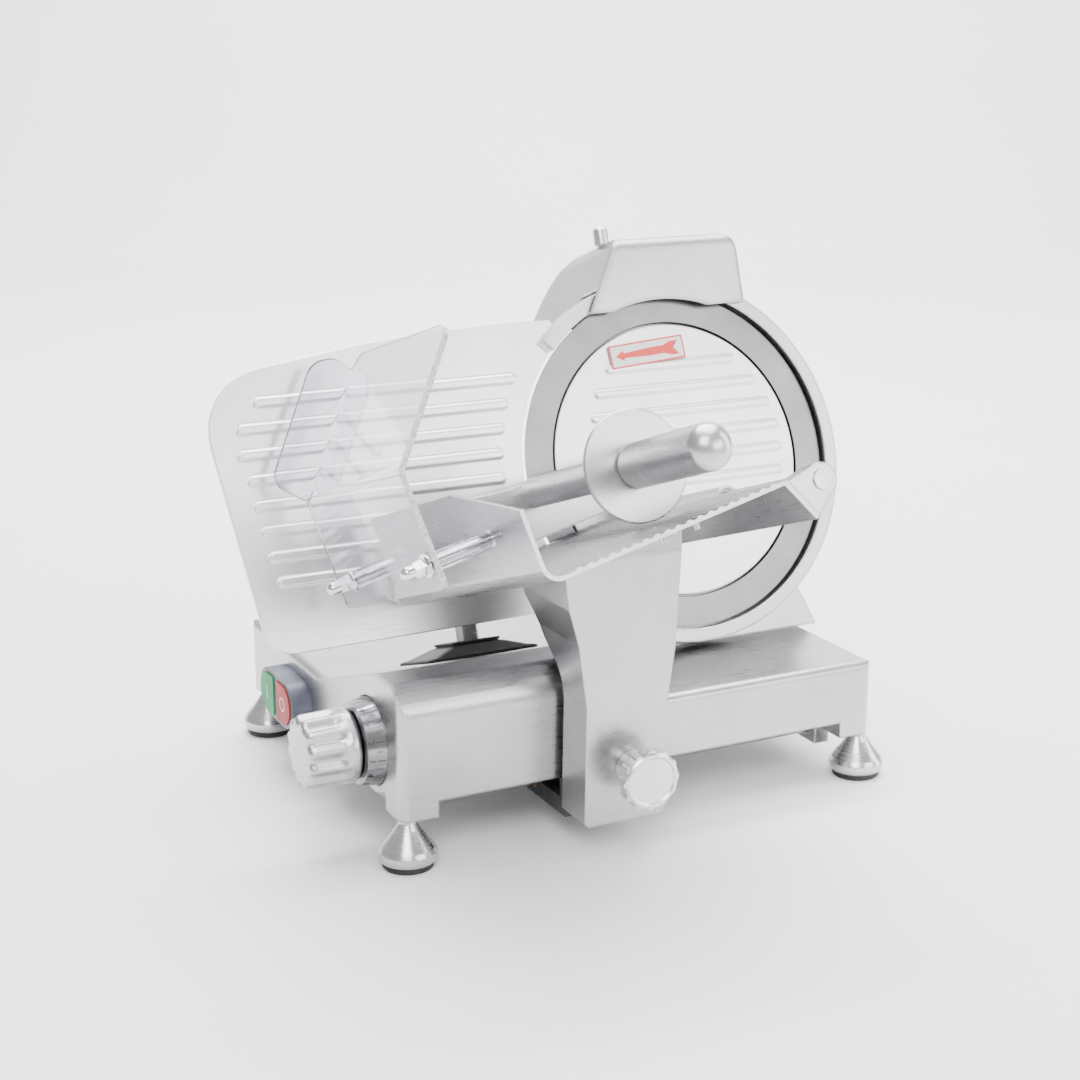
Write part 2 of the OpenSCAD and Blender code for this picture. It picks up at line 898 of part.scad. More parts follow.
// ---------------------------------------------------------------- carriage

module slide_rail() {
    color("silver") rod_x_dir([-150, rail_y, rail_z], rail_r, 334);
}

module rail_brackets() {
    color("dimgray") for (x = [-152, 174]) {
        difference() {
            translate([x, rail_y - 14, 18]) cube([12, 76, base_bottom + 0.3 - 18]);
            rod_x_dir([x + (x < 0 ? 2 : -1), rail_y, rail_z], rail_r + 0.02, 11);
            translate([x + (x < 0 ? 2 : -1), steady_y - 4.2, rail_z - 5.2]) cube([11, 8.4, 10.4]);
        }
    }
}

module steady_bar() {
    color("silver") translate([-150, steady_y - 4, rail_z - 5]) cube([334, 8, 10]);
}

module slide_block() {
    color("#303030") difference() {
        translate([-54, arm_back, 18]) cube([56, steady_y + 14 - arm_back, 26]);
        rod_x_dir([-60, rail_y, rail_z], rail_r + 2, 70);
        translate([-60, steady_y - 4.3, rail_z - 5.3]) cube([70, 8.6, 10.6]);
        translate([-60, rail_y + 20, 17]) cube([70, 22, 10]);
        translate([-60, arm_back + 8, 30]) cube([70, 28, 15]);
    }
}

module slide_bushes() {
    color("peru") for (x = [-53, -16]) {
        difference() {
            rod_x_dir([x, rail_y, rail_z], rail_r + 2, 17);
            rod_x_dir([x - 1, rail_y, rail_z], rail_r + 0.05, 19);
        }
    }
}

// The arm's outline from the front, with its foot and the wide head under the tray
module arm_front_outline() {
    polygon([
        [arm_x0 + 3, arm_bottom], [arm_x0, arm_bottom + 3], [arm_x0 + 1.5, 105],
        [-61, 150], [-68, 175], [-73, 216], [16, 240], [14, 200], [10.5, 139],
        [arm_x1 + 0.3, 100], [arm_x1, arm_bottom + 3], [arm_x1 - 3, arm_bottom]
    ]);
}

module arm_side_outline() {
    polygon([
        [arm_front, arm_bottom], [arm_front, 205], [arm_front + 4, 240],
        [-40, 240], [-46, 168], [-62, 142], [-76, 128], [arm_back, 118], [arm_back, arm_bottom]
    ]);
}

module carriage_arm() {
    color("gainsboro") difference() {
        intersection() {
            along_y(arm_front - 1, 10) arm_front_outline();
            along_x(-90, 40) arm_side_outline();
        }
        // Everything above the underside of the tray
        at_tray() translate([-200, -0.05, -50]) cube([500, 200, 500]);
        at_tray() for (w = tray_screw_w) {
            for (s = tray_screw_s) {
                translate([s, -9, w]) rotate([-90, 0, 0]) cylinder(r = 2.02, h = 10);
            }
        }
        rod_y(knob_x, knob_z, 5.05);
        along_y(arm_front + 5, 20)
            polygon([[-49, 60], [-49, 104], [-54, 150], [-60, 176], [-62, 196], [4, 218],
                [8, 198], [4, 140], [-2, 104], [-2, 60]]);
    }
}

module rod_y(x, z, r) {
    translate([x, -80, z]) rotate([90, 0, 0]) cylinder(r = r, h = 60);
}

// Lobed hand knob with a raised rim and its threaded stem
module arm_knob() {
    color("silver") translate([knob_x, knob_face, knob_z]) rotate([-90, 0, 0]) {
        union() {
            union() {
                rotate_extrude() polygon([
                    [0, 1], [15.5, 1], [16.5, 0], [18, 0], [19.4, 1.4], [19.6, 4], [19.6, 10],
                    [18, 13], [12, 15], [12, 29.7], [0, 29.7]
                ]);
                for (i = [0:11]) {
                    rotate([0, 0, 30 * i]) translate([17.4, 0, 2]) cylinder(r = 3.2, h = 9.5);
                }
            }
        }
        translate([0, 0, 29]) cylinder(r = 5, h = 33);
    }
}

// A point of the flange, x along it from the floor's edge and y across it
function flange_at(x, y) = [
    tray_w + x * cos(flange_drop) + y * sin(flange_drop),
    -x * sin(flange_drop) + y * cos(flange_drop)
];

// Floor with its ridges, end wall and flange of the tray
module tray_blank() {
    translate([0, 0, tray_back]) linear_extrude(tray_len) polygon([
        [0, 67],
        each arc([12, 12], 12, 180, 270),
        [tray_w - 1.1, 0],
        flange_at(flange_len, -1),
        flange_at(flange_len, 2.4),
        [tray_w + 1.4, floor_t],
        for (i = [18:-1:0]) for (p = [[6, 0], [4, ridge_h], [2, ridge_h], [0, 0]])
            [20 + ridge_pitch * i + p[0], floor_t + p[1]],
        [14, floor_t],
        each arc([12, 12], 12 - wall_t, 270, 180),
        [wall_t, 67]
    ]);
}

module food_tray() {
    color("gainsboro") at_tray() difference() {
        tray_blank();
        // Chamfer of the end wall towards the user
        translate([-1, 0, 0]) rotate([0, -90, 0]) mirror([0, 0, 1]) linear_extrude(6)
            polygon([[tray_front + 1, 47], [158, 67.1], [tray_front + 1, 67.1]]);
        translate([-1, 13, 0]) cube([6, 70, 24]);
        // Notch in the flange's back edge
        translate([tray_w, 0, 0]) rotate([0, 0, -flange_drop]) translate([6, -3, 0])
            cube([14, 8, 34]);
        for (w = tray_screw_w) {
            for (s = tray_screw_s) {
                translate([s, -1, w]) rotate([-90, 0, 0]) cylinder(r = 2.05, h = 6);
            }
        }
        for (w = stud_w) {
            translate([-1, stud_t, w]) rotate([0, 90, 0]) cylinder(r = stud_r + 0.02, h = 8);
        }
    }
}

module tray_screws() {
    color("gray") at_tray() for (w = tray_screw_w) {
        for (s = tray_screw_s) {
            translate([s, -8, w]) rotate([-90, 0, 0]) cylinder(r = 2, h = floor_t + 8.8);
        }
    }
}

module rod_ears() {
    color("gainsboro") at_blade() for (w = [tray_front - ear_t, tray_back + 1]) {
        translate([0, 0, w]) linear_extrude(w > 100 ? ear_t : 8) difference() {
            union() {
                translate([rod_x, rod_u]) circle(lobe_r);
                polygon([[rod_x - 7.2, rod_u + 8.3], [-65.9, -39.2], [-46.7, -62.3],
                    [rod_x + 10, rod_u - 4.6]]);
            }
            translate([rod_x, rod_u]) circle(rod_r + 0.02);
        }
    }
}

module pusher_rod() {
    color("silver") at_blade() translate([rod_x, rod_u, 0]) {
        translate([0, 0, rod_back]) cylinder(r = rod_r, h = tray_front - rod_back);
        translate([0, 0, tray_front]) cylinder(r = 6.5, h = 1.2);
    }
}

module guard_studs() {
    color("silver") at_tray() for (w = stud_w) {
        translate([-guard_gap - 18, stud_t, w]) rotate([0, 90, 0])
            cylinder(r = stud_r, h = guard_gap + 20);
    }
}

module guard_spacers() {
    color("lavender") at_tray() for (w = stud_w) {
        translate([-guard_gap + 0.05, stud_t, w]) rotate([0, 90, 0]) linear_extrude(guard_gap - 0.1)
            difference() {
                circle(6);
                circle(stud_r + 0.05);
            }
    }
}

// Washer, hexagon nut and domed nut on each stud
module guard_nuts() {
    color("silver") at_tray() for (w = stud_w) {
        translate([-guard_gap - sheet_t, stud_t, w]) rotate([0, -90, 0]) difference() {
            union() {
                cylinder(r = 7.5, h = 1.4);
                translate([0, 0, 1.4]) cylinder(r = 5.8, h = 4.6, $fn = 6);
                translate([0, 0, 6]) cylinder(r = 5.4, h = 4, $fn = 6);
                translate([0, 0, 10]) cylinder(r = 4.6, h = 4);
                translate([0, 0, 14]) sphere(4.6);
            }
            translate([0, 0, -1]) cylinder(r = stud_r, h = 15);
        }
    }
}

guard_fold_t = 92;
wing_fold = 45;

module guard_sheet() {
    // Lower facet, parallel to the end wall
    translate([-guard_gap - sheet_t, 0, 0]) rotate([0, -90, 0]) mirror([0, 0, 1])
        linear_extrude(sheet_t) polygon([
            [37, 17], [200, 18.5], [204, 22], [203, guard_fold_t + 1.5],
            [33, guard_fold_t + 1.5], [33, 21]
        ]);
    // Upper facet, leaning over the tray
    translate([-guard_gap - sheet_t, guard_fold_t, 0]) rotate([0, 0, lean - tray_slope - 90])
        rotate([0, -90, 0]) mirror([0, 0, 1]) linear_extrude(sheet_t) polygon([
            [34, -0.6], [202, -0.6], [206, 84], [204, 92], [198, 95], [50, 104], [42, 102],
            [34, 94]
        ]);
    // Wing folded back from the upper facet
    translate([-guard_gap - sheet_t, guard_fold_t, 0]) rotate([0, 0, lean - tray_slope - 90])
        translate([0.3, 0, 36.5]) rotate([0, wing_fold, 0]) rotate([0, -90, 0]) mirror([0, 0, 1])
            linear_extrude(sheet_t - 0.4) polygon([
                [0, 3], [0, 93], [-10, 100], [-24, 98], [-33, 90], [-33, 9], [-29, 3]
            ]);
}

module hand_guard() {
    color([0.85, 0.83, 0.92, 0.5]) at_tray() difference() {
        guard_sheet();
        for (w = stud_w) {
            translate([-guard_gap - 10, stud_t, w]) rotate([0, 90, 0])
                cylinder(r = stud_r + 0.05, h = 14);
        }
    }
}

// ---------------------------------------------------------------- pusher

module pusher_bushes() {
    color("ivory") at_blade() translate([rod_x, rod_u, 0]) for (w = [plate_w + 2, sleeve_end - 16]) {
        translate([0, 0, w]) linear_extrude(14) difference() {
            circle(bush_r);
            circle(rod_r + 0.05);
        }
    }
}

// Bar across the tray with a swept upper edge, and the sleeve on the rod
module pusher_plate() {
    color("gainsboro") difference() {
        union() {
            at_tray() translate([0, 0, plate_w]) linear_extrude(plate_t) polygon([
                [14, 12], [18, 10], [184, 10], [194, -6], [208, -2], [202, 30], [196, 46],
                [170, 48], [140, 49],
                [100, 51], [70, 55], [46, 61], [30, 62], [20, 58], [14, 50]
            ]);
            at_blade() translate([rod_x, rod_u, plate_w]) cylinder(r = sleeve_r, h = sleeve_end - plate_w);
        }
        at_blade() translate([rod_x, rod_u, plate_w - 1])
            cylinder(r = bush_r + 0.04, h = sleeve_end - plate_w + 2);
    }
}

module pusher_tube() {
    color("silver") at_tray() translate([tube_s, tube_t, plate_w + plate_t])
        linear_extrude(disc_w - plate_w - plate_t) difference() {
            circle(tube_r);
            circle(tube_r - 2);
        }
}

module hand_disc() {
    color("whitesmoke") at_tray() translate([tube_s, tube_t, disc_w]) rotate_extrude() polygon([
        [0, 0], [disc_r - 1, 0], [disc_r, 1], [disc_r, disc_t - 1], [disc_r - 1, disc_t], [0, disc_t]
    ]);
}

module pusher_handle() {
    l = handle_end - disc_w - disc_t;
    color("silver") at_tray() translate([tube_s, tube_t, disc_w + disc_t]) rotate_extrude()
        polygon([
            [0, 0], [12.5, 0], [14, 6], [handle_r, 16], [handle_r, l - 14], [handle_r - 0.3, l - 9],
            [13.2, l - 4.6], [9.6, l - 1.6], [5, l - 0.3], [0, l]
        ]);
}

base_housing();
bottom_plate();
feet();
foot_soles();
foot_studs();
blade_support();
shaft_bearings();
case_cover();
case_screws();
blade_cover();
cover_rod();
cover_knob();
slice_deflector();
motor_shell();
motor_end_cap();
drive_belt();
switch_housing();
control_board();
capacitor();
cable_gland();
dial_bush();
gauge_boot();
guide_bar();
guide_bar_blocks();
slide_rail();
rail_brackets();
steady_bar();
blade();
blade_shaft();
blade_pulley();
motor_pulley();
dial_knob();
dial_scale();
dial_cam();
gauge_plate();
gauge_bracket();
carriage_arm();
slide_block();
slide_bushes();
food_tray();
tray_screws();
rod_ears();
pusher_rod();
guard_studs();
guard_spacers();
guard_nuts();
hand_guard();
arm_knob();
pusher_bushes();
pusher_plate();
pusher_tube();
hand_disc();
pusher_handle();
sharpener_hood();
lift_pin();
sharpener_posts();
grind_stone();
hone_stone();
start_button();
stop_button();
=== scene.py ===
import json
from math import atan2, cos, pi, radians, sin, tan

import bmesh
import bpy
from mathutils import Matrix, Vector


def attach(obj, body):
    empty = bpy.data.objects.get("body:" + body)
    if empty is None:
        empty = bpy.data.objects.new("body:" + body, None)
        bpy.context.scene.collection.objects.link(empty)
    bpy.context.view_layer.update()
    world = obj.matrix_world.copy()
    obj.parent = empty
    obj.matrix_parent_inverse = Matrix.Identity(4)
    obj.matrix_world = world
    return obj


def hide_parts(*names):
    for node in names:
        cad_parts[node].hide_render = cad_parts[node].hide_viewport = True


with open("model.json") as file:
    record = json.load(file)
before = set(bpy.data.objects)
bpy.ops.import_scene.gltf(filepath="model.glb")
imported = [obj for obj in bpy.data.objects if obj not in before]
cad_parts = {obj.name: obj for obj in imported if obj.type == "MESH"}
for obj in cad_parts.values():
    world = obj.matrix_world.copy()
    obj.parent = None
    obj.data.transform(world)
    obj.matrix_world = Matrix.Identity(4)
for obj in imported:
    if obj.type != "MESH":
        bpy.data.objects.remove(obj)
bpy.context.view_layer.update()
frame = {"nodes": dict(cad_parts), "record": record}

MM = 0.001
SLOT_OF = {part["node"]: part["material_slot"] for part in frame["record"]["subparts"]}


# ---- Frames of reference: local z is the way a piece faces ----

TILT = radians(18.95)
TRAY_SLOPE = radians(13.6)
BLADE_CENTRE = Vector((0.1085, 0.0512, 0.2228))
TRAY_CORNER = (-238.9, -82.2)


def frame_of(origin, x_axis, y_axis):
    """The matrix of a frame from its origin and first two axes."""
    x_axis = Vector(x_axis).normalized()
    y_axis = Vector(y_axis).normalized()
    axes = Matrix((x_axis, y_axis, x_axis.cross(y_axis))).transposed()
    return Matrix.Translation(origin) @ axes.to_4x4()


AT_BLADE = frame_of(BLADE_CENTRE, (1, 0, 0), (0, sin(TILT), cos(TILT)))
AT_TRAY = AT_BLADE @ Matrix.Translation((TRAY_CORNER[0] * MM, TRAY_CORNER[1] * MM, 0)) \
    @ Matrix.Rotation(TRAY_SLOPE, 4, "Z")


# ---- Materials ----

class Look:
    """A material's nodes, with short calls to add them and join them up."""

    def __init__(self, name):
        self.material = bpy.data.materials.new(name)
        self.material.use_nodes = True
        self.tree = self.material.node_tree
        self.shader = self.tree.nodes["Principled BSDF"]
        self.place = self.add("ShaderNodeTexCoord").outputs["Object"]

    def set(self, node, inputs):
        for key, value in inputs.items():
            socket = node.inputs[key]
            if isinstance(value, bpy.types.NodeSocket):
                self.tree.links.new(value, socket)
            else:
                socket.default_value = value
        return node

    def add(self, kind, inputs=None, **settings):
        node = self.tree.nodes.new(kind)
        for key, value in settings.items():
            setattr(node, key, value)
        return self.set(node, inputs or {})

    def moved(self, matrix):
        """The place measured in another frame."""
        back = matrix.inverted()
        rows = [self.add("ShaderNodeVectorMath", {0: self.place, 1: back[i][:3]},
                         operation="DOT_PRODUCT").outputs["Value"] for i in range(3)]
        sums = [self.sum(row, back[i][3]) for i, row in enumerate(rows)]
        return self.add("ShaderNodeCombineXYZ", dict(zip("XYZ", sums))).outputs[0]

    def math(self, operation, a, b=0.0):
        return self.add("ShaderNodeMath", {0: a, 1: b}, operation=operation).outputs[0]

    def sum(self, a, b):
        return self.math("ADD", a, b)

    def noise(self, scale, detail=3.0, stretch=(1, 1, 1), place=None):
        """Noise with this many features a metre, finer along an axis with a larger stretch."""
        where = self.add("ShaderNodeMapping", {"Vector": place or self.place, "Scale": stretch})
        return self.add("ShaderNodeTexNoise", {
            "Vector": where.outputs[0], "Scale": scale, "Detail": detail}).outputs["Fac"]

    def rings(self, matrix, count):
        """Turned or ground circles about the z of a frame, this many a metre."""
        place = self.moved(matrix)
        parts = self.add("ShaderNodeSeparateXYZ", {0: place})
        x, y = parts.outputs[0], parts.outputs[1]
        radius = self.math("SQRT", self.sum(self.math("MULTIPLY", x, x), self.math("MULTIPLY", y, y)))
        line = self.add("ShaderNodeCombineXYZ", {"X": radius, "Z": parts.outputs[2]}).outputs[0]
        return self.noise(count, 4.0, place=line)

    def spread(self, value, low, high, a=0.35, b=0.65):
        """A value taken from the range a to b into the range low to high."""
        return self.add("ShaderNodeMapRange", {
            "Value": value, "From Min": a, "From Max": b, "To Min": low, "To Max": high}).outputs[0]

    def tint(self, value, dark, light):
        mix = self.add("ShaderNodeMix", {"Factor": value}, data_type="RGBA")
        for key, colour in (("A", dark), ("B", light)):
            socket = [s for s in mix.inputs if s.name == key and s.type == "RGBA"][0]
            socket.default_value = (*colour, 1)
        return [s for s in mix.outputs if s.type == "RGBA"][0]

    def rounded(self, radius):
        """Normals with the sharp edges eased, and how near an edge each place is, the mask for painted
        edge highlights.
        """
        eased = self.add("ShaderNodeBevel", {"Radius": radius}, samples=4).outputs[0]
        flat = self.add("ShaderNodeNewGeometry").outputs["Normal"]
        same = self.add("ShaderNodeVectorMath", {0: eased, 1: flat}, operation="DOT_PRODUCT")
        return eased, self.spread(same.outputs["Value"], 1.0, 0.0, 0.8, 1.0)

    def bumps(self, height, strength, distance, normal=None):
        inputs = {"Height": height, "Strength": strength, "Distance": distance}
        if normal is not None:
            inputs["Normal"] = normal
        return self.add("ShaderNodeBump", inputs).outputs[0]

    def finish(self, **inputs):
        self.set(self.shader, {key.replace("_", " "): value for key, value in inputs.items()})
        return self.material


def brushed_metal(name, dark, light, rough, stretch, edge=1.2 * MM, depth=0.02 * MM, grain=900):
    """Satin metal with a one-way grain, faint mottling and a painted highlight along its edges."""
    look = Look(name)
    eased, rim = look.rounded(edge)
    fine = look.noise(grain, 3.0, stretch)
    broad = look.noise(14, 2.0)
    shade = look.spread(look.sum(look.math("MULTIPLY", fine, 0.4), look.math("MULTIPLY", broad, 0.6)),
                        0.0, 1.0)
    # Painted highlight: the colour is lightened towards sharp edges, where the edge mask is high.
    shade = look.math("MAXIMUM", shade, look.math("MULTIPLY", rim, 0.9))
    polish = look.math("SUBTRACT", look.spread(fine, rough[0], rough[1]),
                       look.math("MULTIPLY", rim, 0.06))
    return look.finish(
        Base_Color=look.tint(shade, dark, light), Metallic=1.0, Roughness=polish,
        Normal=look.bumps(fine, 0.14, depth, eased))


def turned_metal(name, matrix, dark, light, rough, count=1400, edge=0.8 * MM):
    """Metal with circles left by a lathe or a grinder about a frame's z axis, and a painted highlight
    along its edges.
    """
    look = Look(name)
    eased, rim = look.rounded(edge)
    circles = look.rings(matrix, count)
    blotches = look.noise(30, 3.0)
    shade = look.spread(look.sum(look.math("MULTIPLY", circles, 0.6),
                                 look.math("MULTIPLY", blotches, 0.4)),
                        0.0, 1.0)
    # Painted highlight: the colour is lightened towards sharp edges.
    shade = look.math("MAXIMUM", shade, rim)
    return look.finish(
        Base_Color=look.tint(shade, dark, light), Metallic=1.0,
        Roughness=look.spread(circles, rough[0], rough[1]),
        Normal=look.bumps(circles, 0.3, 0.02 * MM, eased))


def bright_metal(name, dark, light, rough, edge=0.3 * MM):
    """Plated steel, smooth with a few fine marks."""
    look = Look(name)
    eased = look.rounded(edge)[0]
    marks = look.noise(2200, 4.0)
    clouds = look.noise(60, 2.0)
    return look.finish(
        Base_Color=look.tint(look.spread(clouds, 0.0, 1.0), dark, light), Metallic=1.0,
        Roughness=look.spread(marks, rough[0], rough[1]),
        Normal=look.bumps(marks, 0.08, 0.01 * MM, eased))


def moulded(name, dark, light, rough, grain=2600, depth=0.03 * MM, edge=0.6 * MM, **extra):
    """Plastic or rubber with a fine moulded texture and a painted highlight along its edges."""
    look = Look(name)
    eased, rim = look.rounded(edge)
    pores = look.noise(grain, 3.0)
    clouds = look.noise(45, 2.0)
    # Painted highlight: the colour is lightened towards sharp edges, over the cloudy mottling.
    shade = look.math("MAXIMUM", look.spread(clouds, 0.0, 0.6), look.math("MULTIPLY", rim, 0.8))
    return look.finish(
        Base_Color=look.tint(shade, dark, light), Roughness=look.spread(pores, rough[0], rough[1]),
        Normal=look.bumps(pores, 0.4, depth, eased), **extra)


def abrasive(name, dark, light):
    """Bonded grit."""
    look = Look(name)
    grit = look.noise(3800, 4.0)
    return look.finish(Base_Color=look.tint(look.spread(grit, 0.0, 1.0), dark, light), Roughness=0.9,
                       Normal=look.bumps(grit, 0.9, 0.15 * MM))


def clear_plastic(name):
    """Clear acrylic with a faint violet body and a few handling marks."""
    look = Look(name)
    marks = look.noise(700, 5.0, (1, 0.1, 1))
    haze = look.noise(25, 2.0)
    return look.finish(
        Base_Color=look.tint(look.spread(haze, 0.0, 1.0), (0.83, 0.82, 0.90), (0.89, 0.88, 0.94)),
        Roughness=look.spread(marks, 0.02, 0.06), IOR=1.49, Transmission_Weight=1.0,
        Normal=look.bumps(marks, 0.03, 0.02 * MM))


def guard_edge(name):
    """The polished rim of the clear sheet, which gathers a dull pink."""
    look = Look(name)
    streaks = look.noise(500, 3.0, (1, 0.2, 1))
    return look.finish(
        Base_Color=look.tint(look.spread(streaks, 0.0, 1.0), (0.36, 0.27, 0.29), (0.62, 0.53, 0.56)),
        Roughness=look.spread(streaks, 0.12, 0.25), IOR=1.49,
        Normal=look.bumps(streaks, 0.1, 0.03 * MM))


FINE_GRAIN = 1300
DULL = 0.15
LOOKS = {
    "cast_aluminium": brushed_metal("cast_aluminium", (0.42, 0.42, 0.43), (0.52, 0.52, 0.53),
                                    (0.27, 0.36), (0.06, 1, 1), edge=2.4 * MM,
                                    depth=0.008 * MM, grain=FINE_GRAIN),
    "sheet_aluminium": brushed_metal("sheet_aluminium", (0.40, 0.40, 0.41), (0.49, 0.49, 0.50),
                                     (0.27, 0.34), (1, 0.05, 0.05), edge=0.4 * MM,
                                     depth=0.006 * MM, grain=FINE_GRAIN),
    "gauge_aluminium": brushed_metal("gauge_aluminium", (0.74, 0.74, 0.75), (0.84, 0.84, 0.85),
                                     (0.32, 0.40), (0.05, 1, 1), depth=0.006 * MM, grain=FINE_GRAIN),
    "blade_steel": turned_metal("blade_steel", AT_BLADE, (0.17, 0.17, 0.18), (0.25, 0.25, 0.26),
                                (0.26, 0.34), 4200),
    "turned_aluminium": turned_metal("turned_aluminium", AT_BLADE, (0.62, 0.62, 0.63),
                                     (0.80, 0.80, 0.81), (0.22, 0.36)),
    "steel": bright_metal("steel", (0.42, 0.42, 0.43), (0.56, 0.56, 0.57), (0.22, 0.36)),
    "zinc_steel": bright_metal("zinc_steel", (0.5, 0.5, 0.52), (0.64, 0.65, 0.68), (0.3, 0.45)),
    "chrome": bright_metal("chrome", (0.66, 0.66, 0.67), (0.78, 0.78, 0.79), (0.06, 0.14)),
    "scale_chrome": bright_metal("scale_chrome", (0.20, 0.20, 0.21), (0.30, 0.30, 0.31), (0.10, 0.2)),
    "black_rubber": moulded("black_rubber", (0.004, 0.004, 0.005), (0.016, 0.016, 0.017), (0.45, 0.6)),
    "black_plastic": moulded("black_plastic", (0.012, 0.012, 0.014), (0.05, 0.05, 0.054), (0.3, 0.5)),
    "switch_plastic": moulded("switch_plastic", (0.07, 0.08, 0.11), (0.17, 0.18, 0.23), (0.35, 0.5)),
    "green_plastic": moulded("green_plastic", (0.02, 0.22, 0.08), (0.06, 0.34, 0.14), (0.4, 0.5),
                             Specular_IOR_Level=DULL),
    "red_plastic": moulded("red_plastic", (0.30, 0.03, 0.03), (0.46, 0.08, 0.08), (0.4, 0.5),
                           Specular_IOR_Level=DULL),
    "clear_sheet": clear_plastic("clear_sheet"),
    "bronze": bright_metal("bronze", (0.42, 0.25, 0.12), (0.55, 0.35, 0.18), (0.3, 0.5)),
    "nylon": moulded("nylon", (0.62, 0.61, 0.56), (0.75, 0.74, 0.70), (0.35, 0.5)),
    "board": moulded("board", (0.01, 0.09, 0.04), (0.03, 0.16, 0.07), (0.3, 0.5)),
    "stone_grey": abrasive("stone_grey", (0.18, 0.18, 0.19), (0.42, 0.42, 0.43)),
    "stone_pink": abrasive("stone_pink", (0.42, 0.22, 0.22), (0.66, 0.44, 0.42)),
}


def paint(obj, look):
    """Puts a look on an object. Clearing an empty list would lose which faces are the rim's."""
    if obj.data.materials:
        obj.data.materials.clear()
    obj.data.materials.append(look)


# Castings and turned parts whose grain or soft edges differ from the rest of their slot
AT_HANDLE = AT_TRAY @ Matrix.Translation((118.1 * MM, 41.8 * MM, 0))
HANDLE_LOOK = turned_metal("handle_satin", AT_HANDLE, (0.46, 0.46, 0.47), (0.56, 0.56, 0.57),
                           (0.27, 0.34), 3000)
FOOT_LOOK = brushed_metal("foot_turning", (0.46, 0.46, 0.47), (0.6, 0.6, 0.61), (0.2, 0.3),
                          (0.02, 0.02, 1), depth=0.01 * MM, grain=1800)
NODE_LOOKS = {
    "sharpener_hood": brushed_metal("hood_casting", (0.44, 0.44, 0.45), (0.54, 0.54, 0.55),
                                    (0.27, 0.34), (0.06, 1, 1), edge=6 * MM, depth=0.006 * MM,
                                    grain=FINE_GRAIN),
    "pusher_tube": HANDLE_LOOK,
    "pusher_handle": HANDLE_LOOK,
    "hand_disc": HANDLE_LOOK,
    "feet": FOOT_LOOK,
}

for node_name, node_object in frame["nodes"].items():
    paint(node_object, NODE_LOOKS.get(node_name, LOOKS[SLOT_OF[node_name]]))


# ---- Pieces: lengths below are in millimetres, turned into metres when a mesh is finished ----

def piece_from(mesh, name, matrix=None, unit=1.0):
    """An object from finished mesh code. Its place goes into its vertices, as a CAD node's does."""
    bmesh.ops.scale(mesh, vec=(unit, unit, unit), verts=mesh.verts)
    if matrix is not None:
        bmesh.ops.transform(mesh, matrix=matrix, verts=mesh.verts)
    data = bpy.data.meshes.new(name)
    mesh.to_mesh(data)
    mesh.free()
    obj = bpy.data.objects.new(name, data)
    bpy.context.scene.collection.objects.link(obj)
    return obj


def settle(obj, body, slot, replaced=(), look=None):
    """Gives a piece its finish and its body, and hides the CAD nodes that it stands for."""
    paint(obj, look or LOOKS[slot])
    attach(obj, body)
    if replaced:
        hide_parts(*replaced)
    return obj


def polar(radius, angle, centre=(0, 0)):
    return (centre[0] + radius * cos(radians(angle)), centre[1] + radius * sin(radians(angle)))


def arc(radius, start, end, steps=24):
    return [polar(radius, start + (end - start) * i / steps) for i in range(steps + 1)]


def rounded_path(corners, steps=8):
    """An outline from corners given as x, y and radius; those with no radius stay sharp."""
    path = []
    for i, corner in enumerate(corners):
        here = Vector(corner[:2])
        if len(corner) < 3:
            path.append(tuple(here))
            continue
        before = (Vector(corners[i - 1][:2]) - here).normalized()
        after = (Vector(corners[(i + 1) % len(corners)][:2]) - here).normalized()
        half = before.angle(after) / 2
        middle = here + (before + after).normalized() * corner[2] / sin(half)
        a = here + before * corner[2] / tan(half) - middle
        b = here + after * corner[2] / tan(half) - middle
        first = atan2(a.y, a.x)
        turn = (atan2(b.y, b.x) - first + pi) % (2 * pi) - pi
        for k in range(steps + 1):
            angle = first + turn * k / steps
            path.append((middle.x + corner[2] * cos(angle), middle.y + corner[2] * sin(angle)))
    return path


def flat_sheet(outline, back, front, ease):
    """A plate between two depths with its rims eased."""
    mesh = bmesh.new()
    face = mesh.faces.new([mesh.verts.new((x, y, back)) for x, y in outline])
    face.normal_update()
    if face.normal.z > 0:
        face.normal_flip()
    grown = bmesh.ops.extrude_face_region(mesh, geom=[face])["geom"]
    tops = [v for v in grown if isinstance(v, bmesh.types.BMVert)]
    bmesh.ops.translate(mesh, verts=tops, vec=(0, 0, front - back))
    rims = [e for e in mesh.edges if abs(e.verts[0].co.z - e.verts[1].co.z) < 0.001]
    bmesh.ops.bevel(mesh, geom=rims, offset=ease, segments=3, profile=0.5, affect="EDGES")
    bmesh.ops.recalc_face_normals(mesh, faces=mesh.faces)
    for f in mesh.faces:
        f.smooth = len(f.verts) == 4
    return mesh


def pressed_rib(mesh, x0, x1, y, width, z, height):
    """A rib pressed up from a face: soft shoulders round a gently domed top."""
    shoulder = (1.0, 0.86, 0.74, 0.62, 0.5, 0.36, 0.2, 0.0)
    ends = 10
    half = width / 2
    loops = []
    for part in shoulder:
        rise = min(1.0, (1.0 - part) / 0.55)
        level = z + height * (0.9 * rise * rise * (3 - 2 * rise) + 0.1 * (1 - part * part))
        radius = half * part
        loop = []
        for centre, first in ((x1 - half, -90), (x0 + half, 90)):
            for k in range(ends + 1):
                px, py = polar(radius, first + 180 * k / ends, (centre, y))
                loop.append(mesh.verts.new((px, py, level)))
        loops.append(loop)
    count = len(loops[0])
    for outer, inner in zip(loops, loops[1:]):
        for k in range(count):
            n = (k + 1) % count
            mesh.faces.new((outer[k], outer[n], inner[n], inner[k])).smooth = True
    bmesh.ops.remove_doubles(mesh, verts=loops[-1], dist=0.001)


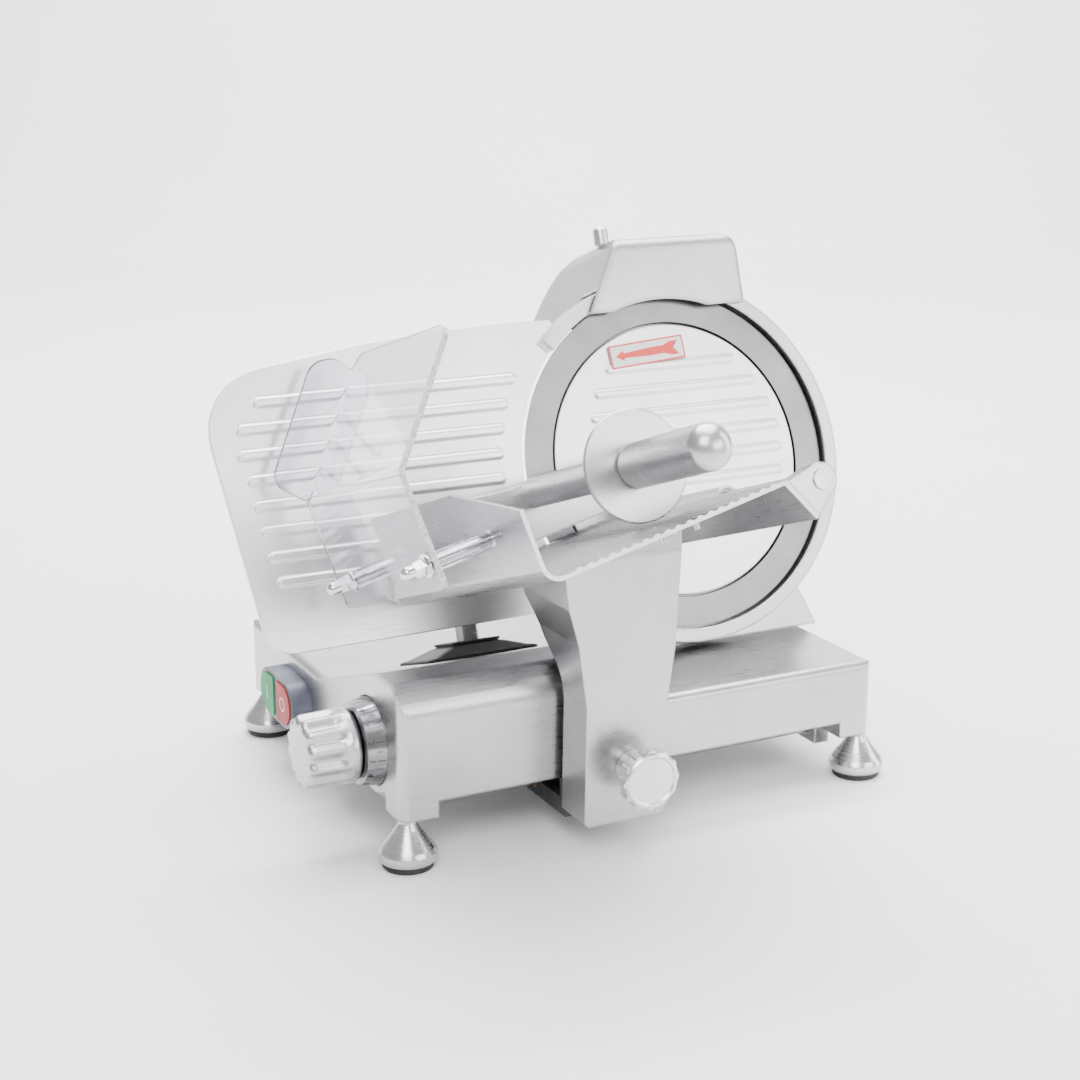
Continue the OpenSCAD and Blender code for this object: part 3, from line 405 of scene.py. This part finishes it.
def lathe(profile, steps=64, radius_at=None):
    """A turned form from (z, radius) points; radius_at may vary the radius with the angle."""
    mesh = bmesh.new()
    rows = []
    for z, r in profile:
        if r == 0:
            rows.append([mesh.verts.new((0, 0, z))] * steps)
            continue
        row = []
        for k in range(steps):
            angle = 360 * k / steps
            x, y = polar(radius_at(angle, z, r) if radius_at else r, angle)
            row.append(mesh.verts.new((x, y, z)))
        rows.append(row)
    for low, high in zip(rows, rows[1:]):
        for k in range(steps):
            n = (k + 1) % steps
            corners = []
            for v in (low[k], low[n], high[n], high[k]):
                if v not in corners:
                    corners.append(v)
            if len(corners) > 2:
                mesh.faces.new(corners).smooth = True
    bmesh.ops.recalc_face_normals(mesh, faces=mesh.faces)
    return mesh


def block(mesh, low, high):
    """A box between two corners, added to a mesh."""
    made = bmesh.ops.create_cube(mesh, size=1)["verts"]
    for v in made:
        v.co = Vector([low[i] + (high[i] - low[i]) * (v.co[i] + 0.5) for i in range(3)])
    return made


GUARD_OUTER = 138.3
GUARD_INNER = 127.6
GUARD_OPEN = (137, 219)


def gauge_plate():
    outline = rounded_path([
        (-235.8, 105.4), (-359.1, 88.2, 46), (-332.4, -101, 22), (-112, -98)
    ]) + arc(GUARD_OUTER, 222, GUARD_OPEN[1], 3) + arc(GUARD_INNER, GUARD_OPEN[1], GUARD_OPEN[0], 60) \
        + arc(GUARD_OUTER, GUARD_OPEN[0], 129, 6) + [(-88, 111.4), (-142.9, 111.9), (-190, 109.6)]
    mesh = flat_sheet(outline, -4, -0.4, 0.7)
    rib_pitch = 17.55
    lefts = (-320.6, -334.8, -336.3, -331.7, -330, -327, -324.7, -321.1)
    for i, left in enumerate(lefts):
        u = 71.1 - rib_pitch * i
        right = min(-((GUARD_OUTER + 2.5) ** 2 - u * u) ** 0.5, -117)
        pressed_rib(mesh, left, right, u, 9, -0.45, 1.6)
    settle(piece_from(mesh, "gauge_sheet", AT_BLADE, MM), "gauge", "gauge_aluminium", ["gauge_plate"])


def blade_cover():
    mesh = flat_sheet(arc(101.2, 0, 358.5, 239), -3.2, -0.2, 0.8)
    rib_ends = ((-50, 62), (-62, 78), (-68, 87), (-70, 92), (-60, 92), (-55, 90), (-50, 84), (-44, 74))
    for i, (left, right) in enumerate(rib_ends):
        pressed_rib(mesh, left, right, 71 - 17.5 * i, 8, -0.25, 1.5)
    settle(piece_from(mesh, "cover_disc", AT_BLADE, MM), "blade", "gauge_aluminium", ["blade_cover"])


def bent(length, corner, angle, radius):
    """Where a strip's point lands after a bend: sideways, along, and how far it has turned."""
    start = corner - radius * tan(angle / 2)
    if length <= start or angle < 0.001:
        return 0.0, length, 0.0
    turned = min((length - start) / radius, angle)
    rest = max(0.0, length - start - radius * angle)
    return (radius * (1 - cos(turned)) + rest * sin(turned),
            start + radius * sin(turned) + rest * cos(turned), turned)


def hand_guard():
    """A clear sheet bent over the tray, with a wing folded back from its upper half."""
    bend_at, lean = 92, radians(40.6)
    fold_at, fold = 36.5, radians(45)
    outline = rounded_path([
        (33, 17, 5), (33, 93, 3), (3.5, 99, 12), (3.5, 187, 13), (22, 194, 16), (36.5, 184.5, 6),
        (44, 197, 9), (206, 186.5, 13), (202, 92, 10), (204, 18.5, 5)
    ])
    mesh = bmesh.new()
    mesh.faces.new([mesh.verts.new((p, q, 0)) for p, q in outline])
    cuts = [((0, q, 0), (0, 1, 0)) for q in list(range(82, 108, 1)) + list(range(30, 80, 12))
            + list(range(115, 195, 10))]
    cuts += [((w, 0, 0), (1, 0, 0)) for w in list(range(26, 40)) + list(range(50, 200, 15))]
    for place, direction in cuts:
        bmesh.ops.bisect_plane(mesh, geom=mesh.verts[:] + mesh.edges[:] + mesh.faces[:],
                               plane_co=place, plane_no=direction)
    for v in mesh.verts:
        ease = min(1.0, max(0.0, (v.co.y - 88) / 12))
        angle = fold * ease * ease * (3 - 2 * ease)
        back, along, _ = bent(fold_at - v.co.x + 40, 40, angle, 6)
        side, up, turned = bent(v.co.y, bend_at, lean, 10)
        v.co = Vector((-42 + side - back * cos(turned), up + back * sin(turned), fold_at - along + 40))
    thicken(mesh, 3.9)
    obj = piece_from(mesh, "guard_sheet", AT_TRAY, MM)
    settle(obj, "carriage", "clear_sheet", ["hand_guard"])
    obj.data.materials.append(guard_edge("guard_edge"))


def thicken(mesh, thickness):
    """Turns a surface into a sheet about it, with its rim in the second material."""
    mesh.normal_update()
    front, back = {}, {}
    for v in mesh.verts[:]:
        front[v] = mesh.verts.new(v.co + v.normal * thickness / 2)
        back[v] = mesh.verts.new(v.co - v.normal * thickness / 2)
    old_faces, old_edges, old_verts = mesh.faces[:], mesh.edges[:], list(front)
    for f in old_faces:
        mesh.faces.new([front[v] for v in f.verts]).smooth = True
        mesh.faces.new([back[v] for v in reversed(f.verts)]).smooth = True
    for e in old_edges:
        if len(e.link_faces) == 1:
            a, b = e.verts
            mesh.faces.new((front[a], back[a], back[b], front[b])).material_index = 1
    bmesh.ops.delete(mesh, geom=old_verts, context="VERTS")
    bmesh.ops.recalc_face_normals(mesh, faces=mesh.faces)
    for e in mesh.edges:
        e.smooth = len({f.material_index for f in e.link_faces}) == 1


DIAL_STEP = 25
FIRST_MARK = 112
DRUM_LEAN = radians(11.3)


def dial_marks():
    """Ticks round the dial's drum, long at each whole millimetre of slice."""
    mesh = bmesh.new()
    for i in range(25):
        made = block(mesh, (-0.3, -0.1, 0), (0.3, 0.12, 5.5 if i % 2 == 0 else 3.5))
        turn = Matrix.Rotation(radians(FIRST_MARK - 90 + DIAL_STEP * i / 2), 4, "Z") \
            @ Matrix.Translation((0, 28.95, 7)) @ Matrix.Rotation(-DRUM_LEAN, 4, "X")
        bmesh.ops.transform(mesh, matrix=turn, verts=made)
    return mesh


def dial_knob():
    """Satin knob with twelve scalloped flutes that fade out before its collar."""
    def fluted(angle, z, r):
        fade = min(1.0, max(0.0, (30.5 - z) / 8))
        scallop = (0.5 + 0.5 * cos(radians(12 * angle))) ** 0.75
        return r - 3.2 * scallop * fade * min(1.0, r / 20)
    profile = [(0.6, 0), (0.5, 12), (0.4, 21), (0.9, 22.8), (2.0, 24.0), (3.6, 24.8)]
    profile += [(z, 24.9 + 1.0 * (z - 5) / 29) for z in range(6, 35)]
    profile += [(35, 25.2), (36.3, 24.2), (37.2, 22.6), (37.9, 18), (37.9, 0)]
    knob = piece_from(lathe(profile, 144, fluted), "knob_body", AT_KNOB, MM)
    settle(knob, "dial", "turned_aluminium", ["dial_knob"], turned_metal(
        "knob_satin", AT_KNOB, (0.44, 0.44, 0.45), (0.54, 0.54, 0.55), (0.26, 0.34), 3000))


def dial_numbers():
    """The slice's thickness in millimetres, 0 to 12, laid round the drum."""
    ink = print_look("dial_ink", (0.004, 0.004, 0.004), (0.02, 0.02, 0.02))
    for number in range(13):
        text = bpy.data.curves.new("number", "FONT")
        text.body = str(number)
        text.size = 5.4 * MM
        text.align_x = "CENTER"
        text.extrude = 0.1 * MM
        source = bpy.data.objects.new("number", text)
        bpy.context.scene.collection.objects.link(source)
        bpy.context.view_layer.update()
        shown = source.evaluated_get(bpy.context.evaluated_depsgraph_get())
        flat = bpy.data.meshes.new_from_object(shown)
        bpy.data.objects.remove(source)
        place = AT_DIAL @ Matrix.Rotation(radians(FIRST_MARK + DIAL_STEP * number), 4, "Z") \
            @ Matrix.Translation(Vector((28.1, 0, 1.8)) * MM) @ Matrix.Rotation(DRUM_LEAN, 4, "Y") \
            @ frame_of((0, 0, 0), (0, 1, 0), (0, 0, 1))
        flat.transform(place)
        obj = bpy.data.objects.new(f"dial_number_{number}", flat)
        bpy.context.scene.collection.objects.link(obj)
        settle(obj, "dial", "black_plastic", look=ink)


def handle_grip():
    """The pusher's handle, with a soft shoulder at the disc and a domed end."""
    low, shoulder, dome, end = 181.0, 185.0, 272.0, 283.9
    neck, radius = 12.4, 14.9
    profile = [(low, 0), (low, neck)]
    profile += [(shoulder - (shoulder - low) * cos(radians(a)),
                 neck + (radius - neck) * sin(radians(a))) for a in range(15, 91, 15)]
    profile += [(dome, radius)]
    profile += [(dome + (end - dome) * sin(radians(a)), radius * cos(radians(a)))
                for a in range(9, 90, 9)]
    profile += [(end, 0)]
    settle(piece_from(lathe(profile, 96), "handle_grip", AT_HANDLE, MM), "pusher", "turned_aluminium",
           ["pusher_handle"], HANDLE_LOOK)


def rubber_boot():
    """A low rubber pyramid with a soft skirt and a rolled collar round the gauge's neck."""
    levels = (
        (0.0, 42.0, 28.0, 34.0), (1.4, 42.0, 28.0, 34.0), (2.2, 40.5, 27.0, 33.0),
        (3.0, 36.0, 25.5, 30.5), (8.2, 21.0, 20.0, 24.5), (8.9, 18.0, 18.0, 22.5),
        (9.4, 17.2, 17.2, 22.0), (9.9, 18.4, 18.4, 23.0), (11.2, 18.4, 18.4, 23.0),
        (11.4, 17.6, 17.6, 22.4), (11.4, 7.4, 7.4, 19.4), (0.0, 7.4, 7.4, 19.4))
    mesh = bmesh.new()
    loops = []
    for height, side, near, far in levels:
        ease = min(5.0, side * 0.3)
        path = rounded_path([(-side, -near, ease), (side, -near, ease), (side, far, ease),
                             (-side, far, ease)])
        loops.append([mesh.verts.new((x, y, height)) for x, y in path])
    for lower, upper in zip(loops, loops[1:] + loops[:1]):
        for k in range(len(lower)):
            n = (k + 1) % len(lower)
            mesh.faces.new((lower[k], lower[n], upper[n], upper[k])).smooth = True
    bmesh.ops.recalc_face_normals(mesh, faces=mesh.faces)
    place = frame_of((-76 * MM, 22.44 * MM, 104.86 * MM), (1, 0, 0), (0, cos(TILT), -sin(TILT)))
    settle(piece_from(mesh, "boot_skirt", place, MM), "base", "black_rubber", ["gauge_boot"])


AT_KNOB = frame_of((-222.5 * MM, -24 * MM, 74 * MM), (0, -1, 0), (0, 0, -1))
AT_DIAL = frame_of((-184.5 * MM, -24 * MM, 74 * MM), (0, 1, 0), (0, 0, 1))


def print_look(name, dark, light):
    """Printed ink with a slightly uneven film."""
    look = Look(name)
    film = look.noise(900, 3.0)
    return look.finish(Base_Color=look.tint(look.spread(film, 0, 1), dark, light),
                       Roughness=look.spread(film, 0.4, 0.55), Normal=look.bumps(film, 0.2, 0.02 * MM))


def ring_mark(mesh, inner, outer, z, steps=40):
    rows = [[mesh.verts.new((*polar(r, 360 * k / steps), z)) for k in range(steps)]
            for r in (inner, outer)]
    for k in range(steps):
        n = (k + 1) % steps
        mesh.faces.new((rows[0][k], rows[1][k], rows[1][n], rows[0][n]))


def button_marks():
    """A bar on the start button and a ring on the stop button."""
    ink = print_look("button_ink", (0.62, 0.66, 0.62), (0.78, 0.8, 0.78))
    for name, body, y, slot in (("start_mark", "start_button", 142.5, "green_plastic"),
                                ("stop_mark", "stop_button", 109.5, "red_plastic")):
        mesh = bmesh.new()
        if name == "start_mark":
            block(mesh, (-0.6, -5, 0), (0.6, 5, 0.06))
        else:
            ring_mark(mesh, 4.2, 5.3, 0.06)
        place = frame_of((-187.4 * MM, y * MM, 58.3 * MM), (0, -1, 0), (0, 0, 1))
        settle(piece_from(mesh, name, place, MM), body, slot, look=ink)


def direction_label():
    """A generic arrow label on the blade's cover, for the way the blade turns."""
    origin = Vector((-13.1, 81.4, 0))
    lean = atan2(4.5, 62)
    label = AT_BLADE @ Matrix.Translation(origin * MM) @ Matrix.Rotation(lean, 4, "Z")
    red = print_look("label_red", (0.62, 0.035, 0.03), (0.74, 0.06, 0.05))
    grey = print_look("label_grey", (0.66, 0.66, 0.67), (0.74, 0.74, 0.75))
    half_w, half_h, line = 31, 8.1, 1.2
    card = flat_sheet(rounded_path([(-half_w, -half_h, 1), (half_w, -half_h, 1), (half_w, half_h, 1),
                                    (-half_w, half_h, 1)]), 0.02, 1.5, 0.1)
    settle(piece_from(card, "label_card", label, MM), "blade", "gauge_aluminium", look=grey)
    mesh = bmesh.new()
    for sign in (-1, 1):
        block(mesh, (-half_w, sign * half_h - line / 2, 1.5), (half_w, sign * half_h + line / 2, 1.56))
        block(mesh, (sign * half_w - line / 2, -half_h, 1.5), (sign * half_w + line / 2, half_h, 1.56))
    half_arrow = [(-20, 4), (-20, 1.8), (2, 3), (14, 3), (20, 5.2), (27, 5.2)]
    arrow = [(-27, 0)] + half_arrow + [(22.5, 0)] + [(x, -y) for x, y in reversed(half_arrow)]
    mesh.faces.new([mesh.verts.new((x, y, 1.56)) for x, y in arrow])
    settle(piece_from(mesh, "label_arrow", label, MM), "blade", "red_plastic", look=red)


# ---- Stage, lights and camera ----

def floor_and_backdrop():
    """A plain pale floor that sweeps up behind the machine."""
    steps = 16
    bend = 1.5
    profile = [(-4.0, 0.0), (2.5, 0.0)]
    profile += [(2.5 + bend * sin(a), bend - bend * cos(a))
                for a in (radians(90) * (i + 1) / steps for i in range(steps))]
    profile.append((4.0, 6.0))
    mesh = bmesh.new()
    rows = [[mesh.verts.new((x, y, z)) for y, z in profile] for x in (-7.0, 7.0)]
    for i in range(len(profile) - 1):
        mesh.faces.new((rows[0][i], rows[1][i], rows[1][i + 1], rows[0][i + 1])).smooth = True
    obj = piece_from(mesh, "floor")
    look = Look("floor")
    mottle = look.noise(3, 2.0)
    paint(obj, look.finish(Base_Color=look.tint(look.spread(mottle, 0, 1), (0.9, 0.9, 0.9),
                                                 (0.92, 0.92, 0.92)), Roughness=0.6))
    obj.rotation_euler.z = radians(-26.5)


def softbox(name, place, size, power, target=(0, 0, 0.2)):
    data = bpy.data.lights.new(name, "AREA")
    data.shape = "RECTANGLE"
    data.size, data.size_y = size
    data.energy = power
    obj = bpy.data.objects.new(name, data)
    bpy.context.scene.collection.objects.link(obj)
    obj.location = place
    obj.rotation_euler = (Vector(target) - Vector(place)).to_track_quat("-Z", "Y").to_euler()


def studio():
    world = bpy.data.worlds.new("studio")
    world.use_nodes = True
    world.node_tree.nodes["Background"].inputs["Color"].default_value = (1, 1, 1, 1)
    world.node_tree.nodes["Background"].inputs["Strength"].default_value = 0.8
    bpy.context.scene.world = world
    softbox("key", (-1.1, -1.9, 2.1), (1.4, 1.4), 60)
    softbox("front", (1.55, -2.9, 1.3), (2.4, 1.3), 58)
    softbox("overhead", (0.2, 0.2, 2.4), (2.4, 1.8), 110)
    softbox("right", (2.0, -0.6, 0.9), (0.7, 1.8), 26)
    softbox("backdrop", (0.8, 1.2, 2.8), (3.0, 1.0), 260, (1.2, 3.2, 0.5))


def camera():
    data = bpy.data.cameras.new("camera")
    data.lens = 65.63
    data.sensor_width = 36
    obj = bpy.data.objects.new("camera", data)
    bpy.context.scene.collection.objects.link(obj)
    obj.location = (-0.6203, -1.1819, 0.5537)
    obj.rotation_euler = (radians(74.6), radians(0.12), radians(-26.5))
    bpy.context.scene.camera = obj


gauge_plate()
blade_cover()
hand_guard()
settle(piece_from(dial_marks(), "dial_ticks", AT_DIAL, MM), "dial", "black_plastic")
dial_knob()
dial_numbers()
rubber_boot()
handle_grip()
button_marks()
direction_label()
floor_and_backdrop()
studio()
camera()
